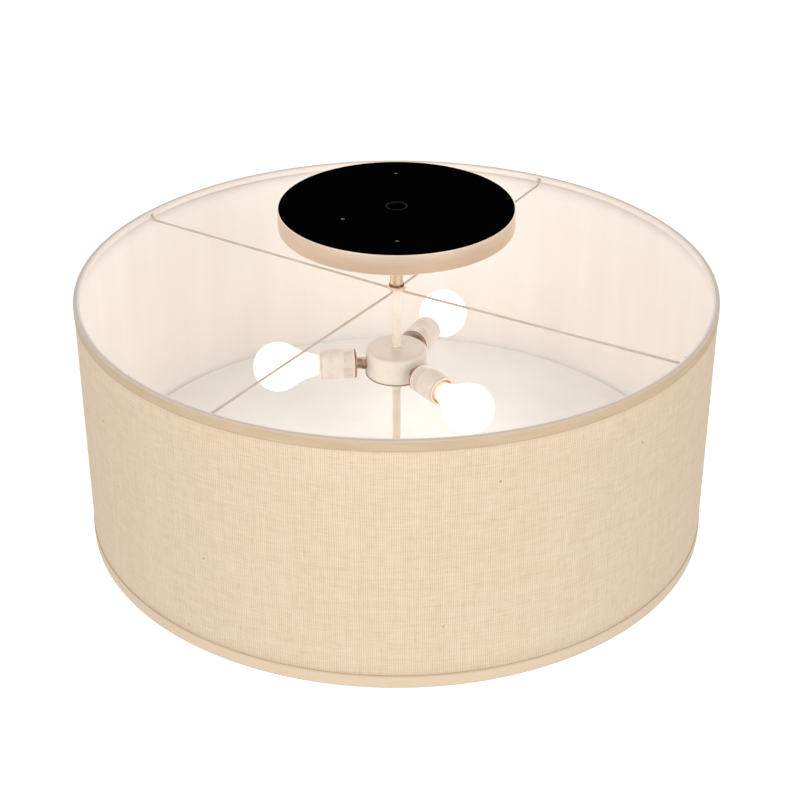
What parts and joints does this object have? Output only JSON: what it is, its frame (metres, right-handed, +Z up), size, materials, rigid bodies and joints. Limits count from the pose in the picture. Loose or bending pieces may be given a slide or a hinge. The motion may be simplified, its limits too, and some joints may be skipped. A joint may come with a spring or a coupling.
{
  "type": "flush mount ceiling light",
  "caption": "Semi-flush ceiling light: a wide linen drum shade on a wire spider hangs from a round canopy, with screw-in bulbs on a central cluster over an opal disc.",
  "frame": {"origin": "centre of the ceiling plate's top face, which lies on the ceiling", "axes": "+Z up into the ceiling, along the stem's axis; X runs through the two slots for the box screws"},
  "size_m": [0.7619, 0.762, 0.4068],
  "materials": {
    "black_plate": "matt black powder coat",
    "black_rubber": "moulded",
    "green_screw": "green dyed zinc",
    "zinc_steel": "bright zinc plate",
    "dark_steel": "dark oxide",
    "satin_nickel": "brushed satin nickel",
    "cream_paint": "cream semi-gloss enamel",
    "beige_paint": "beige satin enamel",
    "spider_wire": "beige coated wire",
    "white_nylon": "moulded",
    "linen": "plain linen weave with slubs, lit from inside",
    "trim_tape": "folded woven tape",
    "shade_film": "satin translucent white film",
    "red_fibre": "vulcanised fibre",
    "porcelain": "white glaze",
    "blank_paper": "blank paper band",
    "brass": "bright",
    "bulb_cap_metal": "nickel-plated brass",
    "bulb_contact": "black glass with a solder button",
    "frosted_glass": "frosted white, lit",
    "opal_acrylic": "opal white",
    "grey_gasket": "soft"
  },
  "bodies": {
    "fixture": {"ceiling_plate": "black_plate", "wire_grommet": "black_rubber", "ground_screw": "green_screw", "canopy_studs": "zinc_steel", "stud_nuts": "zinc_steel", "canopy": "satin_nickel", "canopy_cap_nuts": "satin_nickel", "centre_pipe": "cream_paint", "pipe_bushing": "white_nylon", "pipe_lock_washer": "zinc_steel", "pipe_lock_nuts": "zinc_steel", "stem_tube": "satin_nickel", "collar_washer": "dark_steel", "collar_nut": "satin_nickel", "spider_lock_nut": "cream_paint", "spider_hub": "spider_wire", "shade_top_ring": "spider_wire", "shade_bottom_ring": "spider_wire", "shade_fabric": "linen", "shade_liner": "shade_film", "top_trim": "trim_tape", "bottom_trim": "trim_tape", "upper_coupling": "cream_paint", "coupling_washer": "cream_paint", "cluster_nipple": "zinc_steel", "cluster_body": "cream_paint", "cluster_cover": "cream_paint", "lower_coupling": "cream_paint", "socket_nipples": "zinc_steel", "nipple_lock_nuts": "zinc_steel", "socket_hex_nuts": "dark_steel", "socket_bushings": "zinc_steel", "fibre_washers": "red_fibre", "socket_contacts": "brass", "paper_bands": "blank_paper", "lower_pipe": "beige_paint", "diffuser_gasket": "grey_gasket", "spider_arm_1": "spider_wire", "spider_arm_2": "spider_wire", "spider_arm_3": "spider_wire", "spider_arm_4": "spider_wire", "socket_body_1": "porcelain", "screw_shell_1": "brass", "socket_body_2": "porcelain", "screw_shell_2": "brass", "socket_body_3": "porcelain", "screw_shell_3": "brass"},
    "diffuser_carrier": {"diffuser": "opal_acrylic", "diffuser_washer": "satin_nickel"},
    "finial_knob": {"finial": "satin_nickel"},
    "bulb_1_carrier": {"bulb_base_1": "bulb_contact"},
    "bulb_1": {"bulb_cap_1": "bulb_cap_metal", "bulb_glass_1": "frosted_glass"},
    "bulb_2_carrier": {"bulb_base_2": "bulb_contact"},
    "bulb_2": {"bulb_cap_2": "bulb_cap_metal", "bulb_glass_2": "frosted_glass"},
    "bulb_3_carrier": {"bulb_base_3": "bulb_contact"},
    "bulb_3": {"bulb_cap_3": "bulb_cap_metal", "bulb_glass_3": "frosted_glass"}
  },
  "joints": [
    {"name": "bulb_1_travel", "type": "slide", "parent": "fixture", "child": "bulb_1_carrier", "axis": [0.4226, 0.9063, 0], "range_m": [0, 0.01454]},
    {"name": "bulb_1_turn", "type": "hinge", "parent": "bulb_1_carrier", "child": "bulb_1", "pos_m": [0, 0, -0.2055], "axis": [0.4226, 0.9063, 0], "range_deg": [0, 1440]},
    {"name": "bulb_2_travel", "type": "slide", "parent": "fixture", "child": "bulb_2_carrier", "axis": [-0.9962, -0.0872, 0], "range_m": [0, 0.01454]},
    {"name": "bulb_2_turn", "type": "hinge", "parent": "bulb_2_carrier", "child": "bulb_2", "pos_m": [0, 0, -0.2055], "axis": [-0.9962, -0.0872, 0], "range_deg": [0, 1440]},
    {"name": "bulb_3_travel", "type": "slide", "parent": "fixture", "child": "bulb_3_carrier", "axis": [0.5736, -0.8192, 0], "range_m": [0, 0.01454]},
    {"name": "bulb_3_turn", "type": "hinge", "parent": "bulb_3_carrier", "child": "bulb_3", "pos_m": [0, 0, -0.2055], "axis": [0.5736, -0.8192, 0], "range_deg": [0, 1440]},
    {"name": "diffuser_drop", "type": "slide", "parent": "fixture", "child": "diffuser_carrier", "axis": [0, 0, -1], "range_m": [0, 0.00941]},
    {"name": "finial_turn", "type": "hinge", "parent": "diffuser_carrier", "child": "finial_knob", "pos_m": [0, 0, -0.375], "axis": [0, 0, -1], "range_deg": [0, 3600]}
  ],
  "couplings": [
    {"joint": "bulb_1_travel", "follows": "bulb_1_turn", "m_per_rad": 0.00057757},
    {"joint": "bulb_2_travel", "follows": "bulb_2_turn", "m_per_rad": 0.00057757},
    {"joint": "bulb_3_travel", "follows": "bulb_3_turn", "m_per_rad": 0.00057757},
    {"joint": "finial_turn", "follows": "diffuser_drop", "rad_per_m": 6679.3}
  ]
}
